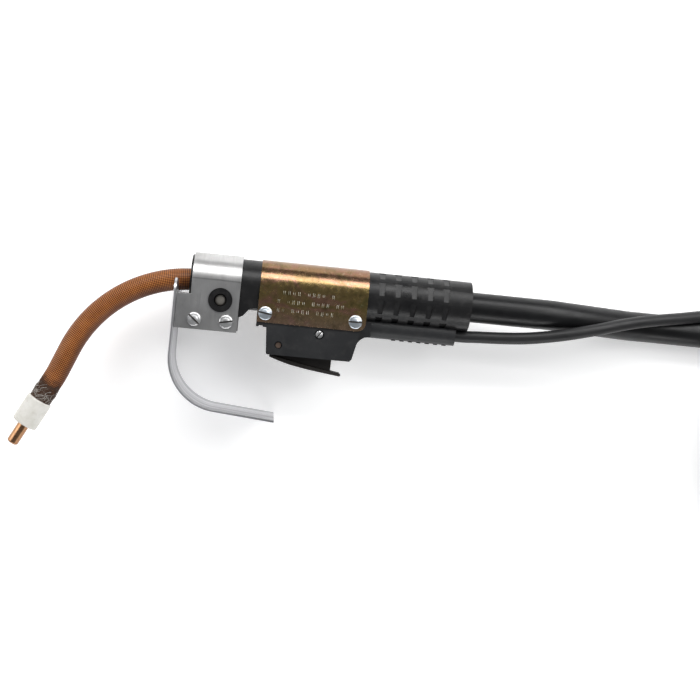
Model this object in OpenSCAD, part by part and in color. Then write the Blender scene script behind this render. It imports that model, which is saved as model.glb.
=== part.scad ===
// Self-shielded flux-cored welding gun with a bent neck, a hand shield and its two leads.
// Millimetres. The gun lies on its side on Z = 0, the handle axis runs along X, the trigger
// side is -Y. Shapes are drawn about the handle axis with X = 0 at the front of the nose.

/* [Neck] */
// Bend of the neck's main arc, degrees
neck_bend = 68; // [60:1:70]
// Radius of the main arc
neck_r = 91; // [85:1:95]
// Diameter over the insulating sleeve
sleeve_d = 15.4; // [15.2:0.1:15.6]
// Contact tip standing out of the thread protector
tip_out = 15.8; // [12:0.1:18]
// Welding wire bore of the contact tip
wire_d = 2.1; // [1.6:0.1:2.4]

/* [Handle] */
// Diameter of the handle
handle_d = 35; // [34.6:0.1:35]
// Length of the handle
handle_len = 196; // [195:0.5:198]
// Depth of the grip pockets at their middle
pocket_depth = 1; // [0.8:0.1:1.4]

/* [Hand shield] */
// Width of the shield across the gun
shield_w = 64; // [60:1:70]
// Sheet thickness of the shield
shield_t = 1.6; // [1.2:0.1:1.6]
// Length of the shield's lower leg
shield_leg = 41.9; // [30:0.1:45]

/* [Trigger] */
// Width of the trigger's paddle
paddle_w = 17; // [14:0.5:20]
// Diameter of the pivot pin
pin_d = 4; // [3.9:0.1:4]

/* [Leads] */
// Diameter of the welding cable
main_d = 21.3; // [20.5:0.1:21.3]
// Diameter of the control cable
ctrl_d = 8.5; // [8:0.1:8.5]

/* [Output] */
// Node to draw, or all

/* [Hidden] */
$fn = 96;

// Shared frame: middle of the gun without its leads, and the handle axis height
mid_x = 40;
mid_y = -54.5;
axis_h = shield_w / 2;
eps = 0.02;
run_gap = 0.05;

// Neck path
arc_x = 5;
mid_straight = 16;
back_bend = 5.5;
back_r = 80;
arc_steps = 17;
neck_sides = 24;
end_straight = 17;
end_bend = neck_bend - back_bend;
arc_end = [arc_x - neck_r * sin(neck_bend), -neck_r * (1 - cos(neck_bend))];
straight_end = arc_end - mid_straight * [cos(neck_bend), sin(neck_bend)];
back_mid = straight_end + back_r * [-sin(neck_bend), cos(neck_bend)];
back_end = back_mid + back_r * [sin(end_bend), -cos(end_bend)];
neck_end = back_end - end_straight * [cos(end_bend), sin(end_bend)];
tube_r = 6.3;
tube_bore_r = 3.2;
liner_r = 2.9;
liner_bore_r = 1.4;
tube_rear = 84;
sleeve_rear = 38;
cap_r = 9;
cap_len = 20.4;
cap_step = 12;
cap_round = 1.2;
tip_r = 4;
tip_stem_r = 3.15;
tip_stem_from = 4;
tip_bevel = 1;

// Handle
hr = handle_d / 2;
boss_at = [22, -12.3];
boss_r = 8.1;
boss_bore_r = 4.35;
boss_top = 20.3;
bolt_r = 2.6;
bolt_head_r = 3.85;
bolt_head_h = 5;
bolt_head_top = 18;
bolt_half = 15;
mouth_to = 6;
mouth_gap = 0.5;
block_from = 42;
block_to = 92;
block_r = 13;
ferrule_to = 112;
bush_from = 178;
bush_r = 14.3;
pocket_first = 132.5;
pocket_pitch = 11.3;
pocket_count = 5;
pocket_turns = [-66, -22, 22, 66];
pocket_long = 10;
pocket_narrow = 3.4;
pocket_wide = 5;

// Bracket
bracket_t = 1.6;
bracket_in = hr + 0.1;
bracket_out = bracket_in + bracket_t;
bracket_from = 1.5;
bracket_to = 35;
bracket_low = -33.9;
bracket_front = -6.5;
bracket_notch = -9.9;
bracket_holes = [[5.3, -27], [27.2, -26.8]];

// Shield
shield_x = -8.6;
shield_top = 0;
shield_bend_y = -51.6;
shield_bend_r = 36.2;
shield_bend_a = 85.4;
shield_steps = 20;
shield_notch_r = 10;
shield_corner = 9;
bead_w = 5;
bead_h = 0.8;
bead_at = 20;
rivet_at = [[-16, 13], [-16, -13], [-28, 13], [-28, -13]];
rivet_r = 1.6;
rivet_head_r = 3.2;
rivet_head_h = 1.2;

// Cover sleeve and screws
cover_t = 0.9;
cover_in = hr + 0.1;
cover_out = cover_in + cover_t;
cover_from = 48.3;
cover_to = 123.3;
cover_low = -24.5;
cover_corner = 6;
cover_holes = [[53.5, -18.2], [115.9, -18.1]];
screw_r = 2.4;
head_r = 4.8;
head_h = 2.2;
head_dome = 0.8;
slot_w = 1.3;
nut_w = 9.5;
nut_h = 3.4;

// Trigger housing
hous_w = hr - 0.1;
hous_gap_r = hr + 0.1;
tail_at = [124, -20.9];
tail_r = 7.6;
tail_to = 187.8;
tail_bore_r = 4.8;
grommet_y = -21.3;
pin_at = [64.6, -39.4];
pin_len = 30;
pin_recess_r = 2.7;
hscrew_at = [92.1, -29.3];
hscrew_r = 1.5;
hscrew_head_r = 2.7;
hscrew_head_h = 2;
hscrew_len = 26;
slot_half = 6.6;
body_half = 6;
hub_r = 4.6;

// Switch
sw_from = 76;
sw_to = 96;
sw_low = -38;
sw_high = -27.1;
sw_half = 6.4;
plunger_x = 88;
plunger_r = 1.5;
plunger_low = -44.2;
plunger_top = -36.4;
trigger_top = -44.5;
spring_x = 72.5;
spring_r = 2.4;
spring_wire = 0.35;
spring_turns = 6;
spring_low = -44.1;
spring_high = -27.5;
lead_r = 0.9;

// Leads: routes as [x, y, height above the surface]
mr = main_d / 2;
cr = ctrl_d / 2;
main_route = [
  [178, 0, 32], [220, 0, 32], [240, 0, 32], [255, 0, 31], [270, -0.5, 28.2], [285, -1, 24],
  [300, -1.5, 19], [315, -2, 14.7], [330, -2, 11.8], [345, -2, 10.7], [390, -2, 10.7], [470, -2, 10.7]
];
ctrl_route = [
  [180, -21.3, 32], [194, -21.3, 32], [205, -20.6, 32.5], [222, -19.6, 34], [238, -18, 36.5], [254, -15.2, 38.8],
  [270, -11.6, 40], [288, -6.8, 39.2], [305, -2, 36], [320, 1.6, 32.2], [335, 4.4, 28.2],
  [352, 7.2, 23.8], [370, 10.4, 18.8], [388, 12.6, 14.2], [406, 13.2, 11.3], [425, 13.3, 10.7],
  [470, 13.3, 10.7]
];
tail_route = [
  [790, -145.2, 53.3], [780, -145.2, 53.3], [769, -145.2, 54.2], [758, -145.3, 56.8], [747, -145.4, 60.8],
  [736, -145.3, 65.3], [725, -144.4, 69.6], [714, -142.4, 73.1], [703, -139.9, 75.5], [692, -137.7, 76.7],
  [682, -136.8, 77], [672, -136.6, 77], [660, -136.6, 77]
];
hank_from = 470;
hank_to = 790;
hank_y = -66;
hank_r = 64;
main_sides = 12;
ctrl_sides = 8;
tie_x = [505, 720];
tie_w = 8;
tie_t = 1;
tie_gap = 0.1;
fold_top = 45;
boot_from = 600;
boot_at = [-130, 58];
plug_from = 660;
plug_at = [-136.6, 77];

// Places and helpers
module at_axis() {
  translate([-mid_x, -mid_y, axis_h]) children();
}

module on_floor() {
  translate([-mid_x, -mid_y, 0]) children();
}

module at_neck_end() {
  translate([neck_end[0], neck_end[1], 0]) rotate([0, 0, 180 + end_bend]) rotate([0, 90, 0]) children();
}

module along_x(from, to, r) {
  translate([from, 0, 0]) rotate([0, 90, 0]) cylinder(r = r, h = to - from);
}

module ring2d(ro, ri) {
  difference() {
    circle(r = ro);
    circle(r = ri);
  }
}

module ring_x(from, to, ro, ri) {
  translate([from, 0, 0]) rotate([0, 90, 0]) linear_extrude(height = to - from) ring2d(ro, ri);
}

function neck_path(rear, past) = concat(
  [[rear, 0, 0]],
  [for (i = [0:arc_steps]) let (a = neck_bend * i / arc_steps)
    [arc_x - neck_r * sin(a), -neck_r * (1 - cos(a)), 0]],
  [for (i = [0:2]) let (a = neck_bend - back_bend * i / 2)
    [back_mid[0] + back_r * sin(a), back_mid[1] - back_r * cos(a), 0]],
  [[neck_end[0] - past * cos(end_bend), neck_end[1] - past * sin(end_bend), 0]]
);

// The neck's path as one pipe
module neck_pipe(rear, ro, ri, past) {
  swept_pipe(neck_path(rear, past), ro, ri, neck_sides, [0, 0, 1]);
}

// A slotted pan head screw along Z whose head sits on z = 0
module pan_screw(len, turn) {
  difference() {
    union() {
      cylinder(r = head_r, h = head_h);
      translate([0, 0, head_h]) cylinder(r1 = head_r, r2 = head_r - 1.4, h = head_dome);
      translate([0, 0, -len]) cylinder(r = screw_r, h = len);
    }
    rotate([0, 0, turn]) translate([-head_r - 1, -slot_w / 2, head_h - 0.7])
      cube([2 * head_r + 2, slot_w, head_dome + 2]);
  }
}

module hex_nut() {
  difference() {
    cylinder(r = nut_w / sqrt(3), h = nut_h, $fn = 6);
    translate([0, 0, -1]) cylinder(r = screw_r, h = nut_h + 2);
  }
}

module across(at, r, half) {
  translate([at[0], at[1], -half]) cylinder(r = r, h = 2 * half);
}

// Inverted channel about the handle axis: half round above, flat sides below
module channel(from, to, ro, ri, low) {
  translate([from, 0, 0]) rotate([90, 0, 90]) linear_extrude(height = to - from) difference() {
    union() {
      circle(r = ro);
      translate([low, -ro]) square([-low, 2 * ro]);
    }
    circle(r = ri);
    translate([low - 1, -ri]) square([1 - low, 2 * ri]);
  }
}

function unit(v) = v / norm(v);
function along(p, i) = unit(p[min(i + 1, len(p) - 1)] - p[max(i - 1, 0)]);
function hoop(p, i, r, n, up) =
  let (t = along(p, i), s = unit(cross(t, up)), u = cross(s, t))
  [for (k = [0:n - 1]) p[i] + r * (cos(360 * (k + 0.5) / n) * s + sin(360 * (k + 0.5) / n) * u)];

// One closed tube swept along the points p
module swept(p, r, n, up) {
  m = len(p);
  pts = [for (i = [0:m - 1]) each hoop(p, i, r, n, up)];
  sides = [for (i = [0:m - 2]) for (k = [0:n - 1]) each [
    [i * n + k, i * n + (k + 1) % n, (i + 1) * n + (k + 1) % n],
    [i * n + k, (i + 1) * n + (k + 1) % n, (i + 1) * n + k]
  ]];
  caps = [[for (k = [n - 1:-1:0]) k], [for (k = [0:n - 1]) (m - 1) * n + k]];
  polyhedron(points = pts, faces = concat(sides, caps), convexity = 4);
}

// One pipe swept along the points p, open at both ends
module swept_pipe(p, ro, ri, n, up) {
  m = len(p);
  off = m * n;
  pts = concat(
    [for (i = [0:m - 1]) each hoop(p, i, ro, n, up)],
    [for (i = [0:m - 1]) each hoop(p, i, ri, n, up)]
  );
  outer = [for (i = [0:m - 2]) for (k = [0:n - 1]) let (a = i * n, b = (i + 1) * n, l = (k + 1) % n) each [
    [a + k, a + l, b + l], [a + k, b + l, b + k]
  ]];
  inner = [for (i = [0:m - 2]) for (k = [0:n - 1]) let (a = off + i * n, b = off + (i + 1) * n, l = (k + 1) % n)
    each [[a + k, b + l, a + l], [a + k, b + k, b + l]]];
  ends = [for (k = [0:n - 1]) let (l = (k + 1) % n, z = (m - 1) * n) each [
    [k, off + k, off + l], [k, off + l, l],
    [z + k, z + l, off + z + l], [z + k, off + z + l, off + z + k]
  ]];
  polyhedron(points = pts, faces = concat(outer, inner, ends), convexity = 6);
}

// ---- Neck ----
module contact_tip() {
  far = cap_len + tip_out;
  color("#b87a50") at_axis() at_neck_end() difference() {
    union() {
      translate([0, 0, tip_stem_from]) cylinder(r = tip_stem_r, h = cap_step - tip_stem_from + 0.1);
      translate([0, 0, cap_step + 0.05]) cylinder(r = tip_r, h = far - cap_step - 0.05 - tip_bevel);
      translate([0, 0, far - tip_bevel]) cylinder(r1 = tip_r, r2 = tip_r - tip_bevel, h = tip_bevel);
    }
    translate([0, 0, -1]) cylinder(r = wire_d / 2, h = far + 2);
  }
}

module thread_protector() {
  color("#e8e6e0") at_axis() at_neck_end() difference() {
    rotate_extrude() union() {
      square([cap_r - cap_round, cap_len]);
      translate([0, cap_round]) square([cap_r, cap_len - 2 * cap_round]);
      translate([cap_r - cap_round, cap_round]) circle(r = cap_round);
      translate([cap_r - cap_round, cap_len - cap_round]) circle(r = cap_round);
    }
    translate([0, 0, -1]) cylinder(r = tube_r + run_gap, h = cap_step + 1);
    translate([0, 0, cap_step - 1]) cylinder(r = tip_r + run_gap, h = cap_len);
  }
}

module conductor_tube() {
  color("#c08552") at_axis() neck_pipe(tube_rear, tube_r, tube_bore_r, cap_step - 0.1);
}

module tube_insulation() {
  color("#9a5a34") at_axis() neck_pipe(sleeve_rear, sleeve_d / 2, tube_r + run_gap, 0);
}

module wire_liner() {
  color("#8a8d92") at_axis() neck_pipe(tube_rear + 40, liner_r, liner_bore_r, tip_stem_from - 0.2);
}

// ---- Handle ----
module handle_solid() {
  difference() {
    along_x(0, handle_len, hr);
    for (k = [0:pocket_count - 1]) for (side = [0, 180]) for (turn = pocket_turns)
      rotate([side - turn, 0, 0]) translate([pocket_first + k * pocket_pitch, 0, hr - pocket_depth])
        linear_extrude(height = 4) polygon([
          [-pocket_narrow / 2, -pocket_long / 2], [pocket_narrow / 2, -pocket_long / 2],
          [pocket_wide / 2, pocket_long / 2], [-pocket_wide / 2, pocket_long / 2]
        ]);
    along_x(-1, block_from, sleeve_d / 2 + run_gap);
    along_x(-1, mouth_to, sleeve_d / 2 + mouth_gap);
    along_x(block_from - 2, ferrule_to, block_r + 0.1);
    along_x(ferrule_to - 1, handle_len + 1, mr + 0.2);
    translate([0, grommet_y, 0]) along_x(tail_at[0], handle_len + 1, tail_bore_r + 0.1);
    along_x(bush_from, handle_len + 1, bush_r + 0.02);
    for (h = cover_holes) across(h, screw_r + 0.1, hr + 2);
  }
}

module handle_upper() {
  color("#2b2b2d") at_axis() intersection() {
    handle_solid();
    translate([-1, 0, -hr - 1]) cube([handle_len + 2, hr + 2, 2 * hr + 2]);
  }
}

module nose_boss() {
  difference() {
    union() {
      translate([0, 0, -hr + 0.1]) linear_extrude(height = 2 * hr - 0.2) polygon([
        [1.2, 0], [1.2, -18], [6, -22.8], [36, -22.8], [38.4, -21.5], [42.5, -16.4], [47.6, -15.4], [47.6, 0]
      ]);
      across(boss_at, boss_r, boss_top);
    }
    across(boss_at, boss_bore_r, boss_top + 1);
    along_x(-1, block_from, sleeve_d / 2 + run_gap);
    along_x(-1, mouth_to, sleeve_d / 2 + mouth_gap);
    along_x(block_from - 2, ferrule_to, block_r + 0.1);
  }
  difference() {
    across(boss_at, boss_bore_r + 0.5, bolt_half - 2);
    across(boss_at, bolt_r, bolt_half);
    along_x(-1, block_from, sleeve_d / 2 + run_gap);
  }
}

module handle_lower() {
  color("#28282a") at_axis() union() {
    intersection() {
      difference() {
        handle_solid();
        across(boss_at, boss_r - 1, hr + 2);
      }
      translate([-1, -hr - 1, -hr - 1]) cube([handle_len + 2, hr + 1, 2 * hr + 2]);
    }
    nose_boss();
  }
}

module clamp_bolt() {
  color("#b9b8b4") at_axis() translate([boss_at[0], boss_at[1], 0]) union() {
    translate([0, 0, -bolt_half - 1]) cylinder(r = bolt_r, h = bolt_half + 1 + bolt_head_top - bolt_head_h);
    translate([0, 0, bolt_half - 2]) cylinder(r = bolt_head_r, h = bolt_head_top - bolt_half + 2);
    translate([0, 0, -bolt_half - 1]) cylinder(r = bolt_head_r, h = 3);
  }
}

module connector_block() {
  color("#b8964a") at_axis() difference() {
    along_x(block_from, block_to, block_r);
    along_x(block_from - 1, tube_rear + 0.2, tube_r + run_gap);
    along_x(tube_rear - 1, block_to + 1, liner_r + run_gap);
    for (x = [68, 78]) translate([x, 0, 0]) rotate([-90, 0, 0]) translate([0, 0, tube_r + 1])
      cylinder(r = 2.5, h = block_r);
  }
}

module cable_ferrule() {
  color("#b4713f") at_axis() ring_x(block_to + eps, ferrule_to - 0.5, 9.4, liner_r + run_gap);
}

module inner_cable() {
  color("#232325") at_axis() difference() {
    along_x(ferrule_to - 0.4, main_route[0][0], mr);
    along_x(ferrule_to - 1, tube_rear + 40.5, liner_r + run_gap);
  }
}

module cable_bushing() {
  color("#1d1d1f") at_axis() ring_x(bush_from + 0.1, handle_len, bush_r, mr + 0.06);
}

// ---- Bracket and shield ----
module shield_bracket() {
  color("#c9cacc") at_axis() difference() {
    union() {
      channel(bracket_from, bracket_to, bracket_out, bracket_in, bracket_low);
      for (s = [-1, 1]) {
        translate([bracket_front, bracket_low, s > 0 ? bracket_in : -bracket_out])
          cube([bracket_from - bracket_front + 1, bracket_notch - bracket_low, bracket_t]);
        translate([shield_x + shield_t / 2, bracket_low, s > 0 ? 7 : -bracket_out])
          cube([bracket_t, bracket_notch - bracket_low, bracket_out - 7]);
      }
    }
    across(boss_at, boss_r + 0.15, bracket_out + 1);
    for (h = bracket_holes) across(h, screw_r + 0.1, bracket_out + 1);
    for (r = rivet_at) translate([0, r[0], r[1]]) along_x(shield_x, bracket_front + 4, rivet_r);
  }
}

module bracket_screws() {
  color("#c4c6c8") at_axis() {
    translate([bracket_holes[0][0], bracket_holes[0][1], bracket_out]) pan_screw(2 * bracket_out + 5, -40);
    translate([bracket_holes[1][0], bracket_holes[1][1], bracket_out]) pan_screw(2 * bracket_out + 5, 12);
  }
}

module bracket_nuts() {
  color("#b9bbbd") at_axis() for (h = bracket_holes)
    translate([h[0], h[1], -bracket_out - nut_h]) hex_nut();
}

// One edge of the shield's sheet in side view, at an offset from its middle line
function shield_edge(off, top, leg) =
  let (c = [shield_x + shield_bend_r, shield_bend_y], r = shield_bend_r + off, a = shield_bend_a)
  concat(
    [[shield_x - off, top]],
    [for (i = [0:shield_steps]) let (t = a * i / shield_steps) c - r * [cos(t), sin(t)]],
    [c - r * [cos(a), sin(a)] + leg * [sin(a), -cos(a)]]
  );

module shield_band(inner, outer, top, leg, w) {
  far = shield_edge(outer, top, leg);
  translate([0, 0, -w / 2]) linear_extrude(height = w)
    polygon(concat(shield_edge(inner, top, leg), [for (i = [len(far) - 1:-1:0]) far[i]]));
}

module hand_shield() {
  half = shield_t / 2;
  color("#d4d5d6") at_axis() difference() {
    union() {
      shield_band(-half, half, shield_top, shield_leg, shield_w);
      for (s = [-1, 1]) translate([0, 0, s * bead_at])
        shield_band(0, half + bead_h, shield_top - 15, shield_leg - 8, bead_w);
    }
    along_x(shield_x - 5, shield_x + 5, shield_notch_r);
    for (s = [-1, 1]) difference() {
      translate([shield_x - 5, shield_top - shield_corner, s > 0 ? shield_w / 2 - shield_corner : -shield_w / 2 - 1])
        cube([10, shield_corner + 1, shield_corner + 1]);
      translate([0, shield_top - shield_corner, s * (shield_w / 2 - shield_corner)])
        along_x(shield_x - 6, shield_x + 6, shield_corner);
    }
    for (r = rivet_at) translate([0, r[0], r[1]]) along_x(shield_x - 5, shield_x + 5, rivet_r);
  }
}

module shield_rivets() {
  front = shield_x - shield_t / 2;
  rear = shield_x + shield_t / 2 + bracket_t;
  color("#bfc1c3") at_axis() for (r = rivet_at) translate([0, r[0], r[1]]) union() {
    along_x(front - rivet_head_h, front, rivet_head_r);
    along_x(front - 0.1, rear + 0.1, rivet_r);
    along_x(rear, rear + 1, rivet_head_r - 0.6);
  }
}

// ---- Cover sleeve ----
module cover_sleeve() {
  color("#b3a060") at_axis() difference() {
    channel(cover_from, cover_to, cover_out, cover_in, cover_low);
    for (h = cover_holes) across(h, screw_r + 0.1, cover_out + 1);
    difference() {
      translate([cover_to - cover_corner, cover_low - 1, -cover_out - 1])
        cube([cover_corner + 1, cover_corner + 1, 2 * cover_out + 2]);
      across([cover_to - cover_corner, cover_low + cover_corner], cover_corner, cover_out + 2);
    }
  }
}

module cover_screws() {
  color("#c6ccd4") at_axis() {
    translate([cover_holes[0][0], cover_holes[0][1], cover_out]) pan_screw(2 * cover_out + 5, 0);
    translate([cover_holes[1][0], cover_holes[1][1], cover_out]) pan_screw(2 * cover_out + 5, 4);
  }
}

module cover_nuts() {
  color("#b9bbbd") at_axis() for (h = cover_holes)
    translate([h[0], h[1], -cover_out - nut_h]) hex_nut();
}

// ---- Trigger housing ----
module housing_outline() {
  polygon([
    [47.8, -10], [48, -27.8], [49.6, -27.8], [50, -26.9], [52.4, -26.9], [52.8, -27.8], [55.1, -27.8],
    [56.5, -45.6], [57.3, -46.3], [114.5, -46], [116, -44.2], [118.8, -31.5], [119.6, -24.6], [121.5, -10]
  ]);
}

module housing_tail() {
  difference() {
    union() {
      translate([0, tail_at[1], 0]) along_x(tail_at[0] - 8, tail_to, tail_r);
      translate([0, 0, -tail_r]) linear_extrude(height = 2 * tail_r) difference() {
        polygon([[112, -18], [112, -38], [117.3, -38], [124, -28.6], [128, -28.2], [128, -18]]);
        translate([127.4, -37.2]) circle(r = 9);
      }
      for (k = [0:6]) translate([145 + 6 * k, tail_at[1] - tail_r + 0.3, 0])
        rotate([90, 0, 0]) cylinder(r = 1.6, h = 0.8);
    }
    translate([0, grommet_y, 0]) along_x(tail_at[0] - 12, tail_to + 1, tail_bore_r);
  }
}

module housing_solid() {
  difference() {
    union() {
      translate([0, 0, -hous_w]) linear_extrude(height = 2 * hous_w) housing_outline();
      housing_tail();
    }
    along_x(40, 200, hous_gap_r);
    // Slot for the trigger and chamber for the switch
    translate([58.4, -50, -slot_half]) cube([46.6, 16.2, 2 * slot_half]);
    translate([69.6, -40, -slot_half]) cube([35.4, 13, 2 * slot_half]);
    translate([0, 0, -4]) linear_extrude(height = 8)
      polygon([[98, -34], [106, -34.6], [121, -26], [121, -19], [98, -19]]);
    translate([0, grommet_y, 0]) along_x(100, 130, tail_bore_r);
    across(pin_at, pin_d / 2 + eps, hous_w + 1);
    for (s = [-1, 1]) translate([pin_at[0], pin_at[1], s > 0 ? pin_len / 2 : -hous_w - 1])
      cylinder(r = pin_recess_r, h = hous_w + 1 - pin_len / 2);
    translate([hscrew_at[0], hscrew_at[1], hous_w - hscrew_head_h - 0.4]) cylinder(r = hscrew_head_r + 0.6, h = 5);
    translate([hscrew_at[0], hscrew_at[1], hous_w - hscrew_len - 0.5]) cylinder(r = hscrew_r + 0.05, h = hscrew_len);
    for (h = cover_holes) across(h, screw_r + 0.1, hous_w + 1);
  }
}

module housing_left() {
  color("#56575b") at_axis() intersection() {
    housing_solid();
    translate([40, -60, 0]) cube([160, 60, 30]);
  }
}

module housing_right() {
  color("#505155") at_axis() intersection() {
    housing_solid();
    translate([40, -60, -30]) cube([160, 60, 30]);
  }
}

module housing_screw() {
  top = hous_w - 0.4;
  color("#cfcfd1") at_axis() translate([hscrew_at[0], hscrew_at[1], 0]) difference() {
    union() {
      translate([0, 0, top - hscrew_head_h]) cylinder(r = hscrew_head_r, h = hscrew_head_h);
      translate([0, 0, top + 0.1 - hscrew_len]) cylinder(r = hscrew_r, h = hscrew_len - hscrew_head_h);
    }
    rotate([0, 0, 55]) translate([-4, -0.35, top - 0.8]) cube([8, 0.7, 2]);
  }
}

module trigger() {
  color("#5b5650") at_axis() difference() {
    union() {
      across(pin_at, hub_r, body_half);
      translate([0, 0, -body_half]) linear_extrude(height = 2 * body_half) polygon([
        [60.6, -41.6], [62.8, -47.6], [73.3, -51], [86.9, -53.6], [102.5, -55],
        [102.7, trigger_top], [68.6, trigger_top], [68, -42], [68.2, -39.4]
      ]);
      translate([0, 0, -paddle_w / 2]) linear_extrude(height = paddle_w) polygon([
        [58.9, -48.2], [66, -50.5], [73.3, -52.5], [80, -53.7], [86.9, -54.8], [94, -55.7], [100.4, -56.5],
        [109.2, -57.5], [110.2, -56.5], [109.4, -55.4], [100.6, -54], [94, -53], [86.9, -51.9],
        [80, -50.7], [73.3, -49.4], [66, -47.9], [62.6, -47.1], [59.4, -47.3]
      ]);
    }
    across(pin_at, pin_d / 2 + run_gap, body_half + 5);
  }
}

module trigger_pin() {
  color("#9c7b62") at_axis() across(pin_at, pin_d / 2, pin_len / 2);
}

module trigger_spring() {
  steps = 12 * spring_turns;
  color("#a8aaac") at_axis() swept(
    [for (i = [0:steps]) [
      spring_x + spring_r * cos(30 * i),
      spring_low + (spring_high - spring_low) * i / steps,
      spring_r * sin(30 * i)
    ]],
    spring_wire, 6, [0, 1, 0]
  );
}

module switch_body() {
  color("#1c1c1e") at_axis() difference() {
    translate([sw_from, sw_low, -sw_half]) cube([sw_to - sw_from, sw_high - sw_low, 2 * sw_half]);
    translate([plunger_x, sw_low - 1, 0]) rotate([-90, 0, 0])
      cylinder(r = plunger_r + run_gap, h = sw_high - sw_low - 1.5);
    across(hscrew_at, hscrew_r + 0.1, sw_half + 1);
  }
}

module switch_plunger() {
  color("#d23a2c") at_axis() translate([plunger_x, plunger_low, 0]) rotate([-90, 0, 0])
    cylinder(r = plunger_r, h = plunger_top - plunger_low);
}

module switch_leads() {
  color("#c9c9c9") at_axis() for (s = [-2, 2]) swept(
    [
      [sw_to, -35.2, s], [100, -35.2, s], [103, -34.4, s], [106, -32.4, s], [120, -23.6, s],
      [123, -22, s], [126.5, -21.3, s], [ctrl_route[0][0] - 0.1, -21.3, s]
    ],
    lead_r, 8, [0, 0, 1]
  );
}

module control_grommet() {
  color("#19191b") at_axis() translate([0, grommet_y, 0])
    ring_x(ctrl_route[0][0] + 0.1, tail_to, tail_bore_r - eps, cr + 0.06);
}

// ---- Leads ----
module main_cable() {
  color("#1b1b1c") on_floor() swept(main_route, mr, main_sides, [0, 0, 1]);
}

module control_cable() {
  color("#3a3a3c") on_floor() swept(ctrl_route, cr, ctrl_sides, [0, 0, 1]);
}

module control_tail() {
  color("#3a3a3c") on_floor() swept(tail_route, cr, ctrl_sides, [0, 0, 1]);
}

// Stadium outline of the hank, at a distance r from its two centres
module stadium(r) {
  translate([hank_from, hank_y]) circle(r = r);
  translate([hank_to, hank_y]) circle(r = r);
  translate([hank_from, hank_y - r]) square([hank_to - hank_from, 2 * r]);
}

module stadium_ring(ro, ri, low, high) {
  translate([0, 0, low]) linear_extrude(height = high - low) difference() {
    stadium(ro);
    stadium(ri);
  }
}

module tie_shapes(gap) {
  for (x = tie_x) for (y = [hank_y + hank_r, hank_y - hank_r]) {
    up = y > hank_y;
    low = y - mr - (up ? 0 : ctrl_d + 0.1);
    high = y + mr + (up ? ctrl_d + 0.1 : 0);
    top = (up ? 3 : 2) * main_d;
    difference() {
      translate([x - gap, low - tie_t, -gap]) cube([tie_w + 2 * gap, high - low + 2 * tie_t, top + tie_t + 2 * gap]);
      translate([x - 1, low + gap, tie_t + gap]) cube([tie_w + 2, high - low - 2 * gap, top - tie_t - 2 * gap]);
    }
  }
}

module main_hank() {
  layer = main_d;
  color("#1b1b1c") on_floor() difference() {
    union() {
      stadium_ring(hank_r + mr, hank_r - mr, 0, 3 * layer);
      stadium_ring(hank_r - mr + eps, hank_r - 3 * mr, layer, 2 * layer);
    }
    translate([hank_from, hank_y - hank_r + mr + eps, layer - 1]) cube([400, 2 * (hank_r - mr) - eps, layer + 2]);
    translate([hank_from - 100, hank_y - 100, -1]) cube([100, 200, layer + 1.2]);
    translate([hank_from - 100, hank_y - 100, 2 * layer]) cube([100, 200, 2 * layer]);
    translate([hank_from - 1, hank_y - 100, 2 * layer]) cube([boot_from - hank_from + 1, 100, 2 * layer]);
    tie_shapes(tie_gap);
  }
}

module control_hank() {
  inner = hank_r + mr + 0.1;
  color("#3a3a3c") on_floor() difference() {
    stadium_ring(inner + ctrl_d, inner, mr - cr, 2.5 * main_d + cr);
    translate([hank_from - 100, hank_y - 100, -1]) cube([100, 200, main_d + 6]);
    translate([hank_from - 100, hank_y - 100, fold_top]) cube([100, 200, 2 * main_d]);
    translate([hank_from - 1, hank_y - 100, 1.5 * main_d + cr + 1])
      cube([hank_to - hank_from + 1, 100, 2 * main_d]);
    tie_shapes(tie_gap);
  }
}

module hank_ties() {
  color("#101011") on_floor() tie_shapes(0);
}

module connector_boot() {
  color("#202022") on_floor() translate([0, boot_at[0], boot_at[1]]) difference() {
    union() {
      translate([boot_from - eps, 0, 0]) rotate([0, -90, 0]) cylinder(r1 = 11, r2 = 15, h = 34);
      along_x(boot_from - 74, boot_from - 34, 15);
    }
    along_x(boot_from - 75, boot_from - 64, 8.05);
  }
}

module feeder_connector() {
  color("#b59347") on_floor() translate([0, boot_at[0], boot_at[1]]) difference() {
    union() {
      along_x(boot_from - 118, boot_from - 64, 8);
      along_x(boot_from - 82, boot_from - 74.1, 12.5);
    }
    along_x(boot_from - 119, boot_from - 63, 2);
    ring_x(boot_from - 114, boot_from - 111, 10, 6.8);
  }
}

module control_plug() {
  color("#2a2a2c") on_floor() translate([0, plug_at[0], plug_at[1]]) difference() {
    union() {
      translate([plug_from - eps, 0, 0]) rotate([0, -90, 0]) cylinder(r1 = 5, r2 = 9.5, h = 22);
      along_x(plug_from - 44, plug_from - 22, 9.5);
      along_x(plug_from - 26, plug_from - 22, 11);
    }
    along_x(plug_from - 45, plug_from - 38, 7.5);
  }
}

module coupling_ring() {
  color("#8f9296") on_floor() translate([0, plug_at[0], plug_at[1]])
    ring_x(plug_from - 46, plug_from - 30, 12, 9.5 + run_gap);
}

module plug_pins() {
  color("#caa24a") on_floor() translate([0, plug_at[0], plug_at[1]]) {
    for (k = [0:4]) rotate([72 * k, 0, 0]) translate([0, 0, 4.4]) along_x(plug_from - 44, plug_from - 38, 0.8);
  }
}

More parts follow.
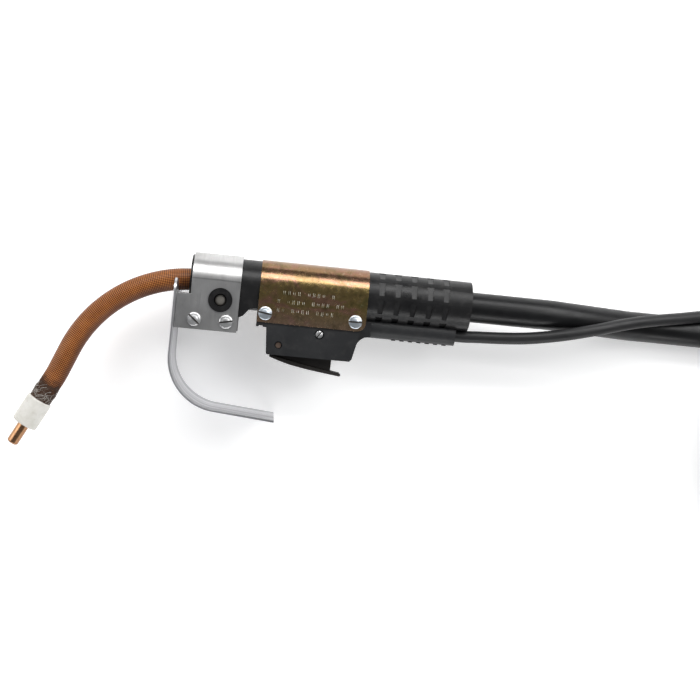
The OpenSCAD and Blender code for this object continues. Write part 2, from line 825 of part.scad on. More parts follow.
contact_tip();
thread_protector();
conductor_tube();
tube_insulation();
wire_liner();
handle_upper();
handle_lower();
clamp_bolt();
connector_block();
cable_ferrule();
inner_cable();
cable_bushing();
shield_bracket();
bracket_screws();
bracket_nuts();
hand_shield();
shield_rivets();
cover_sleeve();
cover_screws();
cover_nuts();
housing_left();
housing_right();
housing_screw();
trigger();
trigger_pin();
trigger_spring();
switch_body();
switch_plunger();
switch_leads();
control_grommet();
main_cable();
main_hank();
control_cable();
control_hank();
control_tail();
hank_ties();
connector_boot();
feeder_connector();
control_plug();
coupling_ring();
plug_pins();
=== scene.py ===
import math
import random

import bmesh
import bpy
from mathutils import Matrix, Vector, noise


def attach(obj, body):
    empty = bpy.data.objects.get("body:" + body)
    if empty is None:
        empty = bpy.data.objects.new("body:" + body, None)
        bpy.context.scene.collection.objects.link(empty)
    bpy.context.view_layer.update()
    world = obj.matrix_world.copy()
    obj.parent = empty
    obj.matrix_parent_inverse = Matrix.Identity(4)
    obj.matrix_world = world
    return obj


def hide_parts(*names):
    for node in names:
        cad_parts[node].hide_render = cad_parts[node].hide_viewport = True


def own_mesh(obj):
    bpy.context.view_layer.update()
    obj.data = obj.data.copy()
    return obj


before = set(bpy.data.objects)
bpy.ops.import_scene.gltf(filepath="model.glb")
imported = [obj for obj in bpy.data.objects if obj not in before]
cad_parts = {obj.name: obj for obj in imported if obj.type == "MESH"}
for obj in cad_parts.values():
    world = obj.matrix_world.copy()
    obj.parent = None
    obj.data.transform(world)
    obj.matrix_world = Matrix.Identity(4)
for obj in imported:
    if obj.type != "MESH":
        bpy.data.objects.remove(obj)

random.seed(11)
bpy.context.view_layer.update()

# Row frame: the middle of the gun without its leads is the origin, millimetres are turned to metres here.
MID_X, MID_Y, AXIS_H = 40.0, -54.5, 32.0


def A(x, y, z=0.0):
    """A point given about the handle axis, in millimetres."""
    return Vector(((x - MID_X) / 1000, (y - MID_Y) / 1000, (z + AXIS_H) / 1000))


def F(x, y, h=0.0):
    """A point given by its height above the floor, in millimetres."""
    return Vector(((x - MID_X) / 1000, (y - MID_Y) / 1000, h / 1000))


# ---------------------------------------------------------------- camera
# It looks almost straight down on the gun, turned a little so that the handle axis falls to the right.
cam_data = bpy.data.cameras.new("camera")
cam = bpy.data.objects.new("camera", cam_data)
bpy.context.scene.collection.objects.link(cam)
cam_data.lens = 68.0
cam_data.sensor_width = 36.0
cam_data.clip_start = 0.05
cam.location = A(55, 1, 930)
look = A(115.4, -38.5, 0) - cam.location
up_hint = Vector((-0.101, 0.995, 0.0))
back = -look.normalized()
right = up_hint.cross(back).normalized()
up = back.cross(right)
cam.matrix_world = Matrix.Translation(cam.location) @ Matrix((right, up, back)).transposed().to_4x4()
bpy.context.scene.camera = cam
bpy.context.scene.view_settings.view_transform = "Standard"

# ---------------------------------------------------------------- mesh helpers


def link(name, bm, material=None, smooth=35.0):
    """A mesh object in the scene. Edges of more than smooth degrees stay sharp."""
    bmesh.ops.recalc_face_normals(bm, faces=bm.faces)
    me = bpy.data.meshes.new(name)
    bm.to_mesh(me)
    bm.free()
    me.polygons.foreach_set("use_smooth", [True] * len(me.polygons))
    me.set_sharp_from_angle(angle=math.radians(smooth))
    ob = bpy.data.objects.new(name, me)
    bpy.context.scene.collection.objects.link(ob)
    if material:
        me.materials.append(material)
    return ob


def frames(points):
    """Tangent, side and up at each point, carried along without twist."""
    n = len(points)
    tangents = [(points[min(i + 1, n - 1)] - points[max(i - 1, 0)]).normalized() for i in range(n)]
    side = tangents[0].cross(Vector((0, 0, 1)))
    side = side.normalized() if side.length > 1e-6 else Vector((1, 0, 0))
    found = []
    for t in tangents:
        side = (side - t * side.dot(t)).normalized()
        found.append((t, side, side.cross(t)))
    return found


def tube(points, radius, sides=24, shape=None, uv=True):
    """A closed tube along the points. shape(along, around) gives the surface's offset from radius."""
    bm = bmesh.new()
    layer = bm.loops.layers.uv.new("UVMap") if uv else None
    lengths = [0.0]
    for a, b in zip(points, points[1:]):
        lengths.append(lengths[-1] + (b - a).length)
    rings = []
    for i, (p, (t, s, u)) in enumerate(zip(points, frames(points))):
        ring = []
        for k in range(sides):
            a = 2 * math.pi * k / sides
            r = radius + (shape(lengths[i], a) if shape else 0.0)
            ring.append(bm.verts.new(p + r * (math.cos(a) * s + math.sin(a) * u)))
        rings.append(ring)
    for i, (one, two) in enumerate(zip(rings, rings[1:])):
        for k in range(sides):
            f = bm.faces.new((one[k], one[(k + 1) % sides], two[(k + 1) % sides], two[k]))
            if layer:
                at = [(k, i), (k + 1, i), (k + 1, i + 1), (k, i + 1)]
                for loop, (kk, ii) in zip(f.loops, at):
                    loop[layer].uv = (lengths[ii] * 1000, kk / sides)
    bm.faces.new(rings[0][::-1])
    bm.faces.new(rings[-1])
    return bm


def length_of(points):
    """Length of the line through the points."""
    return sum((b - a).length for a, b in zip(points, points[1:]))


def add_tube(whole, points, radius, sides=6):
    """Adds one thin plain tube to the mesh that is being built."""
    one = tube(points, radius, sides, uv=False)
    temp = bpy.data.meshes.new("temp")
    one.to_mesh(temp)
    one.free()
    whole.from_mesh(temp)
    bpy.data.meshes.remove(temp)


def smooth_path(points, step):
    """Catmull-Rom through the points, resampled about every step."""
    out = []
    pts = [2 * points[0] - points[1], *points, 2 * points[-1] - points[-2]]
    for i in range(1, len(pts) - 2):
        p0, p1, p2, p3 = pts[i - 1 : i + 3]
        n = max(1, round((p2 - p1).length / step))
        for j in range(n):
            t = j / n
            out.append(
                0.5 * (2 * p1 + (p2 - p0) * t + (2 * p0 - 5 * p1 + 4 * p2 - p3) * t * t
                       + (3 * p1 - p0 - 3 * p2 + p3) * t * t * t)
            )
    out.append(points[-1].copy())
    return out


# ---------------------------------------------------------------- cords
# The routes are the ones of the CAD part, in millimetres, with the height above the floor last.
MAIN_D, CTRL_D = 21.3, 8.5
MAIN_ROUTE = [
    (178, 0, 32), (220, 0, 32), (240, 0, 32), (255, 0, 31), (270, -0.5, 28.2), (285, -1, 24),
    (300, -1.5, 19), (315, -2, 14.7), (330, -2, 11.8), (345, -2, 10.7), (390, -2, 10.7), (470, -2, 10.7),
]
CTRL_ROUTE = [
    (180, -21.3, 32), (194, -21.3, 32), (205, -20.6, 32.5), (222, -19.6, 34), (238, -18, 36.5),
    (254, -15.2, 38.8), (270, -11.6, 40), (288, -6.8, 39.2), (305, -2, 36), (320, 1.6, 32.2),
    (335, 4.4, 28.2), (352, 7.2, 23.8), (370, 10.4, 18.8), (388, 12.6, 14.2), (406, 13.2, 11.3),
    (425, 13.3, 10.7), (470, 13.3, 10.7),
]
TAIL_ROUTE = [
    (790, -145.2, 53.3), (780, -145.2, 53.3), (769, -145.2, 54.2), (758, -145.3, 56.8), (747, -145.4, 60.8),
    (736, -145.3, 65.3), (725, -144.4, 69.6), (714, -142.4, 73.1), (703, -139.9, 75.5), (692, -137.7, 76.7),
    (682, -136.8, 77), (672, -136.6, 77), (660, -136.6, 77),
]
HANK_FROM, HANK_TO, HANK_Y = 470.0, 790.0, -66.0
MAIN_TURN_R, CTRL_TURN_R = 64.0, 79.0
PLUG_H = 58.0


def ease(t):
    """A smooth step from 0 to 1."""
    t = min(1.0, max(0.0, t))
    return t * t * (3 - 2 * t)


def hank_turns(radius, rise, step=7.0):
    """Two and a half turns, stacked. The second fold on the gun's side climbs by rise only, and the last
    run climbs by what is left of a layer."""
    pts = []
    arc = max(8, round(math.pi * radius / step))
    run = round((HANK_TO - HANK_FROM) / 10)
    for turn in range(3):
        h = MAIN_D / 2 + turn * MAIN_D
        for i in range(1, run + 1):
            t = i / run
            low = (MAIN_D - rise) * (1 - ease(t / 0.34)) if turn == 2 else 0.0
            pts.append((HANK_FROM + (HANK_TO - HANK_FROM) * t, HANK_Y + radius, h - low))
        for i in range(1, arc + 1):
            a = math.pi / 2 - math.pi * i / arc
            pts.append((HANK_TO + radius * math.cos(a), HANK_Y + radius * math.sin(a), h))
        if turn == 2:
            break
        for i in range(1, run + 1):
            pts.append((HANK_TO - (HANK_TO - HANK_FROM) * i / run, HANK_Y - radius, h))
        climb = rise if turn == 1 else MAIN_D
        for i in range(1, arc + 1):
            a = -math.pi / 2 - math.pi * i / arc
            height = h + climb * ease((i / arc) / 0.62)
            pts.append((HANK_FROM + radius * math.cos(a), HANK_Y + radius * math.sin(a), height))
    return pts


top_layer = MAIN_D * 2.5
main_pts = smooth_path([F(*p) for p in MAIN_ROUTE], 0.006)
main_pts += [F(*p) for p in hank_turns(MAIN_TURN_R, MAIN_D)]
for back_by in range(10, 200, 10):
    height = top_layer + (PLUG_H - top_layer) * ease((back_by - 120) / 60)
    main_pts.append(F(HANK_TO - back_by, HANK_Y - MAIN_TURN_R, height))
ctrl_pts = smooth_path([F(*p) for p in CTRL_ROUTE], 0.004)
ctrl_pts += [F(*p) for p in hank_turns(CTRL_TURN_R, CTRL_D)]
ctrl_pts += smooth_path([F(*p) for p in TAIL_ROUTE], 0.004)[1:]

# ---------------------------------------------------------------- materials


class Nodes:
    """A short way to build a node material."""

    def __init__(self, name):
        self.mat = bpy.data.materials.new(name)
        self.mat.use_nodes = True
        self.tree = self.mat.node_tree
        self.bsdf = self.tree.nodes["Principled BSDF"]
        self.coord = self.tree.nodes.new("ShaderNodeTexCoord")

    def join(self, a, b):
        self.tree.links.new(a, b)

    def mapped(self, scale, source="Object"):
        m = self.tree.nodes.new("ShaderNodeMapping")
        m.inputs["Scale"].default_value = scale
        self.join(self.coord.outputs[source], m.inputs["Vector"])
        return m.outputs["Vector"]

    def noise(self, scale, detail=3.0, rough=0.55, vector=None, distortion=0.0):
        n = self.tree.nodes.new("ShaderNodeTexNoise")
        n.inputs["Scale"].default_value = scale
        n.inputs["Detail"].default_value = detail
        n.inputs["Roughness"].default_value = rough
        n.inputs["Distortion"].default_value = distortion
        self.join(vector or self.coord.outputs["Object"], n.inputs["Vector"])
        return n.outputs["Fac"]

    def ramp(self, fac, stops):
        r = self.tree.nodes.new("ShaderNodeValToRGB")
        el = r.color_ramp.elements
        el[0].position, el[1].position = stops[0][0], stops[-1][0]
        for pos, _ in stops[1:-1]:
            el.new(pos)
        for e, (_, c) in zip(el, stops):
            e.color = (*c, 1.0)
        self.join(fac, r.inputs["Fac"])
        return r.outputs["Color"]

    def level(self, fac, low, high, a=0.0, b=1.0):
        r = self.tree.nodes.new("ShaderNodeMapRange")
        for k, v in zip(("From Min", "From Max", "To Min", "To Max"), (low, high, a, b)):
            r.inputs[k].default_value = v
        self.join(fac, r.inputs["Value"])
        return r.outputs["Result"]

    def mix(self, fac, a, b):
        m = self.tree.nodes.new("ShaderNodeMix")
        m.data_type = "RGBA"
        m.clamp_factor = True
        # sockets 0, 6 and 7 are the factor and the two colours
        for value, place in ((fac, 0), (a, 6), (b, 7)):
            if hasattr(value, "links"):
                self.join(value, m.inputs[place])
            elif isinstance(value, (int, float)):
                m.inputs[place].default_value = value
            else:
                m.inputs[place].default_value = (*value, 1.0)
        return m.outputs[2]

    def maths(self, op, a, b=None):
        m = self.tree.nodes.new("ShaderNodeMath")
        m.operation = op
        for i, value in enumerate((a, b)):
            if value is None:
                continue
            if hasattr(value, "links"):
                self.join(value, m.inputs[i])
            else:
                m.inputs[i].default_value = value
        return m.outputs[0]

    def bump(self, height, distance, strength=1.0, normal=None):
        b = self.tree.nodes.new("ShaderNodeBump")
        b.inputs["Distance"].default_value = distance
        b.inputs["Strength"].default_value = strength
        self.join(height, b.inputs["Height"])
        if normal:
            self.join(normal, b.inputs["Normal"])
        return b.outputs["Normal"]

    def split(self, source="Object"):
        s = self.tree.nodes.new("ShaderNodeSeparateXYZ")
        self.join(self.coord.outputs[source], s.inputs[0])
        return s.outputs

    def finish(self, color, rough, metal=0.0, normal=None, spec=None):
        self.join(color, self.bsdf.inputs["Base Color"])
        if hasattr(rough, "links"):
            self.join(rough, self.bsdf.inputs["Roughness"])
        else:
            self.bsdf.inputs["Roughness"].default_value = rough
        if normal is not None:
            self.join(normal, self.bsdf.inputs["Normal"])
        self.bsdf.inputs["Metallic"].default_value = metal
        if spec is not None:
            self.bsdf.inputs["Specular IOR Level"].default_value = spec
        return self.mat


def plastic(name, dark, light, rough, grain=0.00004, dust=None):
    """Moulded plastic with a fine grain and, if asked for, dust in patches."""
    m = Nodes(name)
    broad = m.noise(38.0, 4.0)
    c = m.ramp(broad, [(0.3, dark), (0.7, light)])
    if dust:
        c = m.mix(m.level(m.noise(160.0, 6.0, 0.65), 0.52, 0.75, 0.0, 0.35), c, dust)
    r = m.level(m.noise(90.0, 5.0), 0.3, 0.7, rough - 0.07, rough + 0.09)
    n = m.bump(m.noise(2600.0, 2.0), grain)
    return m.finish(c, r, 0.0, n, 0.32)


def metal(name, dark, light, rough, streak=None, spots=0.0, stain=None):
    """Plain metal. streak sets the scale of its fine lines, and stain and spots its tarnish."""
    m = Nodes(name)
    broad = m.noise(60.0, 5.0)
    c = m.ramp(broad, [(0.3, dark), (0.7, light)])
    vec = m.mapped(streak) if streak else None
    fine = m.noise(1.0 if streak else 900.0, 4.0, 0.6, vec)
    c = m.mix(m.level(fine, 0.35, 0.7, 0.0, 0.35), c, [0.75 * x for x in dark])
    if stain:
        c = m.mix(m.level(m.noise(220.0, 6.0, 0.7), 0.58, 0.72, 0.0, spots), c, stain)
    r = m.level(fine, 0.25, 0.75, rough - 0.06, rough + 0.1)
    n = m.bump(fine, 0.00002)
    return m.finish(c, r, 1.0, n)


def cable_mat(name, dark, light, rough):
    """Rubber jacket with faint lines along its length."""
    m = Nodes(name)
    c = m.ramp(m.noise(26.0, 5.0), [(0.3, dark), (0.72, light)])
    lengthwise = m.noise(1.0, 4.0, 0.6, m.mapped((0.12, 42.0, 1.0), source="UV"))
    r = m.level(m.noise(120.0, 6.0, 0.6), 0.3, 0.7, rough - 0.06, rough + 0.12)
    n = m.bump(lengthwise, 0.00012, 0.5)
    n = m.bump(m.noise(1500.0, 3.0), 0.00003, 0.8, n)
    return m.finish(c, r, 0.0, n, 0.32)


BRAID_TURNS, BRAID_PITCH = 20.0, 2.5
SLEEVE_R = 0.0077
BURNT_LENGTH = 17.0
NECK_FROM, NECK_BEND, NECK_R = 5.0, 68.0, 91.0
NECK_STRAIGHT, BACK_BEND, BACK_R, NECK_END = 16.0, 5.5, 80.0, 17.0


def neck_points(rear, past, step=1.0):
    """The middle line of the bent neck, from a point in the handle to its front end.

    It is straight, bends by NECK_BEND, runs straight, bends back a little and ends straight.
    """
    n = round((rear - NECK_FROM) / step)
    pts = [(rear - (rear - NECK_FROM) * i / n, 0.0) for i in range(n)]
    n = round(NECK_R * math.radians(NECK_BEND) / step)
    for i in range(n + 1):
        a = math.radians(NECK_BEND * i / n)
        pts.append((NECK_FROM - NECK_R * math.sin(a), -NECK_R * (1 - math.cos(a))))

    def onwards(angle, length, n):
        x, y = pts[-1]
        for k in range(1, n + 1):
            pts.append((x - length * k / n * math.cos(angle), y - length * k / n * math.sin(angle)))

    a = math.radians(NECK_BEND)
    onwards(a, NECK_STRAIGHT, 16)
    x, y = pts[-1]
    cx, cy = x - BACK_R * math.sin(a), y + BACK_R * math.cos(a)
    for k in range(1, 9):
        b = math.radians(NECK_BEND - BACK_BEND * k / 8)
        pts.append((cx + BACK_R * math.sin(b), cy - BACK_R * math.cos(b)))
    onwards(b, NECK_END + past, round((NECK_END + past) / step))
    return [A(px, py) for px, py in pts]


def resample(points, step):
    """The same line with its points at equal distances."""
    out, carry = [points[0]], 0.0
    for a, b in zip(points, points[1:]):
        d = (b - a).length
        while carry + d >= step:
            t = (step - carry) / d
            a = a.lerp(b, t)
            out.append(a)
            d = (b - a).length
            carry = 0.0
        carry += d
    return [*out, points[-1]]


SLEEVE_PTS = resample(neck_points(20.0, -0.02), 0.00034)
BURN_FROM = length_of(SLEEVE_PTS) * 1000 - BURNT_LENGTH


def braid_mat():
    """Varnished glass braid, orange-brown, burnt dark towards its front end.

    UV x is millimetres from the rear, UV y goes once round.
    """
    m = Nodes("braid")
    uv = m.split("UV")
    lines = []
    for sign in (1, -1):
        slope = m.maths("MULTIPLY", uv[1], sign * BRAID_TURNS)
        turns = m.maths("MULTIPLY", uv[0], 1.0 / BRAID_PITCH)
        wave = m.maths("SINE", m.maths("MULTIPLY", m.maths("ADD", slope, turns), 6.2832))
        lines.append(wave)
    weave = m.level(m.maths("MULTIPLY", lines[0], lines[1]), -1.0, 1.0)
    base = m.ramp(m.noise(85.0, 6.0, 0.65), [
        (0.28, (0.15, 0.042, 0.012)), (0.5, (0.27, 0.080, 0.020)), (0.74, (0.40, 0.135, 0.036)),
    ])
    # painted shade: the gaps between the threads are darkened almost to black
    base = m.mix(m.level(weave, 0.2, 0.62, 0.95, 0.0), base, (0.026, 0.008, 0.003))
    base = m.mix(m.level(weave, 0.62, 0.95, 0.0, 0.6), base, (0.72, 0.34, 0.11))
    # painted shade: a broad darker band along the inner side of the bend
    inner = m.maths("ABSOLUTE", m.maths("SUBTRACT", uv[1], 0.43))
    base = m.mix(m.level(inner, 0.03, 0.12, 0.6, 0.0), base, (0.060, 0.018, 0.008))
    fibres = m.noise(1.0, 3.0, 0.6, m.mapped((0.6, 240.0, 1.0), source="UV"))
    burnt = m.maths("ADD", uv[0], m.level(m.noise(240.0, 4.0), 0.3, 0.7, -5.0, 5.0))
    base = m.mix(m.level(burnt, BURN_FROM - 2.0, BURN_FROM + 6.0, 0.0, 0.92), base, (0.035, 0.020, 0.014))
    ash = m.level(m.noise(700.0, 6.0, 0.7), 0.5, 0.66)
    ash = m.maths("MULTIPLY", ash, m.level(burnt, BURN_FROM + 6.0, BURN_FROM + 14.0, 0.0, 0.55))
    base = m.mix(ash, base, (0.34, 0.31, 0.28))
    rough = m.level(burnt, BURN_FROM - 8.0, BURN_FROM + 4.0, 0.36, 0.85)
    n = m.bump(weave, 0.00012, 0.6)
    n = m.bump(fibres, 0.00006, 0.7, n)
    return m.finish(base, rough, 0.0, n, 0.22)


def bracket_mat():
    """Brushed sheet with a painted dark line, painted shade where the round top meets the flat side."""
    m = Nodes("brushed_aluminium")
    streak = m.noise(1.0, 4.0, 0.6, m.mapped((1500, 40, 40)))
    c = m.ramp(m.noise(45.0, 5.0), [(0.3, (0.46, 0.455, 0.45)), (0.7, (0.66, 0.655, 0.65))])
    c = m.mix(m.level(streak, 0.35, 0.7, 0.0, 0.3), c, (0.42, 0.415, 0.41))
    # painted shade: a dark line along the bend between the round top and the flat side
    y = m.maths("ADD", m.split()[1], m.level(m.noise(60.0, 3.0), 0.3, 0.7, -0.0002, 0.0002))
    off = m.maths("ABSOLUTE", m.maths("SUBTRACT", y, 0.0557))
    c = m.mix(m.level(off, 0.0, 0.0008, 0.62, 0.0), c, (0.16, 0.16, 0.16))
    c = m.mix(m.level(m.noise(260.0, 6.0, 0.7), 0.6, 0.75, 0.0, 0.5), c, (0.34, 0.31, 0.28))
    r = m.level(streak, 0.25, 0.75, 0.28, 0.42)
    return m.finish(c, r, 1.0, m.bump(streak, 0.00003))


def shield_mat():
    """Satin sheet with light and dark lines that run along the strip."""
    m = Nodes("satin_aluminium")
    lines = m.noise(1.0, 3.0, 0.6, m.mapped((6, 6, 170)))
    fine = m.noise(1.0, 3.0, 0.6, m.mapped((25, 25, 1400)))
    c = m.ramp(lines, [(0.36, (0.36, 0.36, 0.38)), (0.5, (0.62, 0.62, 0.64)), (0.62, (0.80, 0.80, 0.82))])
    c = m.mix(m.level(fine, 0.4, 0.7, 0.0, 0.3), c, (0.40, 0.40, 0.41))
    c = m.mix(m.level(m.noise(300.0, 6.0, 0.7), 0.62, 0.76, 0.0, 0.5), c, (0.30, 0.29, 0.28))
    r = m.level(fine, 0.25, 0.75, 0.26, 0.42)
    return m.finish(c, r, 1.0, m.bump(fine, 0.00003))


def gold_mat():
    """Yellow chromate over zinc: olive gold with pink and green clouds and a fine spangle."""
    m = Nodes("yellow_zinc")
    cloud = m.noise(38.0, 5.0, 0.6, m.mapped((0.5, 1.0, 1.0)), 1.6)
    c = m.ramp(cloud, [
        (0.24, (0.16, 0.17, 0.055)), (0.38, (0.30, 0.22, 0.085)), (0.48, (0.34, 0.24, 0.10)),
        (0.56, (0.42, 0.22, 0.16)), (0.66, (0.30, 0.29, 0.10)), (0.8, (0.46, 0.30, 0.17)),
    ])
    # painted shade: darker brown across the shoulder, where the round top turns away
    shoulder_shade = m.level(m.split()[1], 0.0595, 0.0625)
    c = m.mix(m.maths("MULTIPLY", shoulder_shade, 0.65), c, (0.27, 0.14, 0.09))
    low = m.level(m.split()[1], 0.028, 0.043, 0.62, 0.0)
    c = m.mix(low, c, (0.56, 0.36, 0.30))
    c = m.mix(m.level(m.noise(120.0, 6.0, 0.7), 0.50, 0.68, 0.0, 0.65), c, (0.10, 0.085, 0.035))
    grain = m.noise(1500.0, 6.0, 0.7)
    c = m.mix(m.level(grain, 0.46, 0.64, 0.0, 0.45), c, (0.14, 0.10, 0.045))
    c = m.mix(m.level(m.noise(360.0, 6.0, 0.7), 0.58, 0.74, 0.0, 0.5), c, (0.62, 0.55, 0.38))
    r = m.level(m.noise(300.0, 5.0), 0.3, 0.7, 0.16, 0.30)
    n = m.bump(grain, 0.00002, 0.7)
    return m.finish(c, r, 1.0, n)


def cap_mat():
    """Off-white moulded insulator, soiled in spots."""
    m = Nodes("ceramic")
    c = m.ramp(m.noise(120.0, 6.0, 0.65), [(0.3, (0.56, 0.54, 0.48)), (0.62, (0.72, 0.705, 0.66))])
    c = m.mix(m.level(m.noise(420.0, 6.0, 0.7), 0.6, 0.74, 0.0, 0.6), c, (0.42, 0.37, 0.31))
    r = m.level(m.noise(200.0, 5.0), 0.3, 0.7, 0.38, 0.6)
    return m.finish(c, r, 0.0, m.bump(m.noise(900.0, 4.0), 0.00006))


M = {
    "copper": metal(
        "copper", (0.30, 0.15, 0.08), (0.58, 0.34, 0.18), 0.25, (40, 40, 40), 0.85, (0.07, 0.035, 0.02),
    ),
    "braid": braid_mat(),
    "ceramic": cap_mat(),
    "steel": metal(
        "steel", (0.60, 0.60, 0.60), (0.84, 0.84, 0.84), 0.33, (70, 70, 70), 0.5, (0.22, 0.16, 0.11),
    ),
    "zinc": metal(
        "zinc", (0.60, 0.66, 0.72), (0.80, 0.86, 0.92), 0.3, (70, 70, 70), 0.4, (0.30, 0.26, 0.14),
    ),
    "brass": metal("brass", (0.48, 0.33, 0.12), (0.66, 0.49, 0.22), 0.28, (30, 600, 600)),
    "black": plastic(
        "black_plastic", (0.005, 0.005, 0.0055), (0.010, 0.0098, 0.0102), 0.33, 0.00005,
        (0.05, 0.047, 0.045),
    ),
    "grey": plastic(
        "grey_plastic", (0.013, 0.0135, 0.0145), (0.022, 0.0225, 0.024), 0.42, 0.00005,
        (0.05, 0.048, 0.046),
    ),
    "trigger": plastic("trigger_plastic", (0.020, 0.0175, 0.0155), (0.034, 0.030, 0.027), 0.46, 0.00005),
    "brushed": bracket_mat(),
    "shield": shield_mat(),
    "gold": gold_mat(),
    "rubber": cable_mat("rubber", (0.0025, 0.0025, 0.003), (0.006, 0.006, 0.0065), 0.34),
    "grey_rubber": cable_mat("grey_rubber", (0.012, 0.012, 0.0125), (0.024, 0.024, 0.025), 0.4),
    "pin": metal(
        "brown_pin", (0.34, 0.24, 0.19), (0.50, 0.37, 0.29), 0.34, spots=0.4, stain=(0.2, 0.15, 0.12),
    ),
    "pin_end": metal(
        "stud_end", (0.26, 0.24, 0.21), (0.46, 0.44, 0.40), 0.42, spots=0.6, stain=(0.14, 0.11, 0.09),
    ),
    # painted shade: darker steel for the faces inside the screw slots
    "slot_shade": metal("screw_slot_shade", (0.10, 0.095, 0.09), (0.20, 0.19, 0.18), 0.5),
    "red": plastic("red_plastic", (0.5, 0.05, 0.03), (0.6, 0.08, 0.05), 0.4),
}
SHARP_EDGE = math.radians(32.0)


def stand_for(ob, body, *nodes):
    """ob replaces the CAD nodes and moves with body."""
    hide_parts(*nodes)
    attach(ob, body)
    return ob


def refined(node, material, width, body):
    """The CAD node's own solid with its edges rounded by width millimetres, standing for the node."""
    bm = bmesh.new()
    bm.from_mesh(bpy.data.objects[node].data)
    bmesh.ops.remove_doubles(bm, verts=bm.verts, dist=2e-6)
    bmesh.ops.dissolve_limit(bm, angle_limit=math.radians(0.6), verts=bm.verts, edges=bm.edges)
    edges = [e for e in bm.edges if len(e.link_faces) == 2 and e.calc_face_angle(0) > SHARP_EDGE]
    bmesh.ops.bevel(
        bm, geom=edges, offset=width / 1000, offset_type="OFFSET", segments=2,
        profile=0.5, affect="EDGES", clamp_overlap=True, material=-1,
    )
    ob = link(node + "_body", bm, material, 50.0)
    mod = ob.modifiers.new("weighted", "WEIGHTED_NORMAL")
    mod.keep_sharp = True
    return stand_for(ob, body, node)


def paint(node, material):
    """The CAD node stays as it is, with a material of its own."""
    ob = bpy.data.objects[node]
    ob.data.materials.clear()
    ob.data.materials.append(material)


# ---------------------------------------------------------------- the two leads
main_cord = link("power_lead", tube(main_pts, MAIN_D / 2000, 40), M["rubber"])
stand_for(main_cord, "gun", "main_cable", "main_hank")
ctrl_cord = link("control_lead", tube(ctrl_pts, CTRL_D / 2000, 28), M["grey_rubber"])
stand_for(ctrl_cord, "gun", "control_cable", "control_hank", "control_tail")

# ---------------------------------------------------------------- neck sleeve


def braid_shape(along, around):
    """Depth of the weave below the sleeve's radius, uneven where it is burnt."""
    mm = along * 1000
    p1 = math.sin(2 * math.pi * (BRAID_TURNS * around / (2 * math.pi) + mm / BRAID_PITCH))
    p2 = math.sin(2 * math.pi * (BRAID_TURNS * around / (2 * math.pi) - mm / BRAID_PITCH))
    rise = 0.00018 * (p1 * p2 - 1.0)
    if mm > BURN_FROM:
        rise += 0.00022 * noise.noise(Vector((mm * 0.55, 6 * math.cos(around), 6 * math.sin(around))))
        rise = min(rise, 0.0)
    return rise


sleeve = link("neck_sleeve", tube(SLEEVE_PTS, SLEEVE_R, 144, braid_shape), M["braid"], 60.0)
stand_for(sleeve, "neck", "tube_insulation")

# loose glass threads on the sleeve's burnt end
end_dir = (SLEEVE_PTS[-1] - SLEEVE_PTS[-30]).normalized()
end_side = end_dir.cross(Vector((0, 0, 1))).normalized()
end_up = end_side.cross(end_dir)
threads = bmesh.new()
for _ in range(60):
    a = random.uniform(0, 2 * math.pi)
    reach = random.uniform(0.003, 0.008)
    start = random.uniform(0.2, 1.0) ** 1.6 * 5.0 / 1000 + reach
    turn = random.choice((-1, 1)) * random.uniform(0.25, 0.8)
    lift = random.uniform(0.0, 0.0005)
    line = []
    for k in range(6):
        t = k / 5
        b = a + turn * t + 0.12 * math.sin(9 * t + a)
        r = SLEEVE_R + 0.00006 + lift * math.sin(math.pi * t)
        line.append(
            SLEEVE_PTS[-1] - end_dir * (start - reach * t)
            + r * (math.cos(b) * end_side + math.sin(b) * end_up)
        )
    add_tube(threads, line, random.uniform(0.00008, 0.00016))
m = Nodes("loose_glass")
glass = m.finish(m.ramp(m.noise(900.0, 4.0), [(0.3, (0.16, 0.13, 0.11)), (0.7, (0.62, 0.58, 0.53))]), 0.6)
loose = link("loose_threads", threads, glass, 60.0)
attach(loose, "neck")

# ---------------------------------------------------------------- screws


def lathe(profile, sides=64):
    """A solid of revolution about Z from (radius, height) pairs in millimetres."""
    bm = bmesh.new()
    rings = []
    for r, h in profile:
        if r < 1e-6:
            rings.append([bm.verts.new((0, 0, h / 1000))])
            continue
        ring = []
        for k in range(sides):
            a = 2 * math.pi * k / sides
            ring.append(bm.verts.new((r / 1000 * math.cos(a), r / 1000 * math.sin(a), h / 1000)))
        rings.append(ring)
    for one, two in zip(rings, rings[1:]):
        for k in range(sides):
            l = (k + 1) % sides
            if len(one) == 1:
                bm.faces.new((one[0], two[k], two[l]))
            elif len(two) == 1:
                bm.faces.new((one[k], one[l], two[0]))
            else:
                bm.faces.new((one[k], one[l], two[l], two[k]))
    return bm


def slotted(ob, low, high, turn):
    """Cuts the driver slot, a box from low to high turned about Z. Its faces get a darker material, painted
    shade in the slot.
    """
    bm = bmesh.new()
    bmesh.ops.create_cube(bm, size=1.0)
    low, high = Vector(low) / 1000, Vector(high) / 1000
    for v in bm.verts:
        v.co = Vector([low[i] if v.co[i] < 0 else high[i] for i in range(3)])
    turned = Matrix.Rotation(math.radians(turn), 3, "Z")
    bmesh.ops.rotate(bm, verts=bm.verts, cent=(0, 0, 0), matrix=turned)
    cutter = link("slot", bm)
    cutter.location = ob.location
    ob.data.materials.append(M["slot_shade"])
    for material in ob.data.materials:
        cutter.data.materials.append(material)
    cutter.data.polygons.foreach_set("material_index", [1] * len(cutter.data.polygons))
    mod = ob.modifiers.new("cut", "BOOLEAN")
    mod.object = cutter
    mod.operation = "DIFFERENCE"
    mod.solver = "EXACT"
    bpy.context.view_layer.update()
    shown = ob.evaluated_get(bpy.context.evaluated_depsgraph_get())
    done = bpy.data.meshes.new_from_object(shown)
    ob.modifiers.clear()
    ob.data = done
    bpy.data.objects.remove(cutter, do_unlink=True)
    return ob


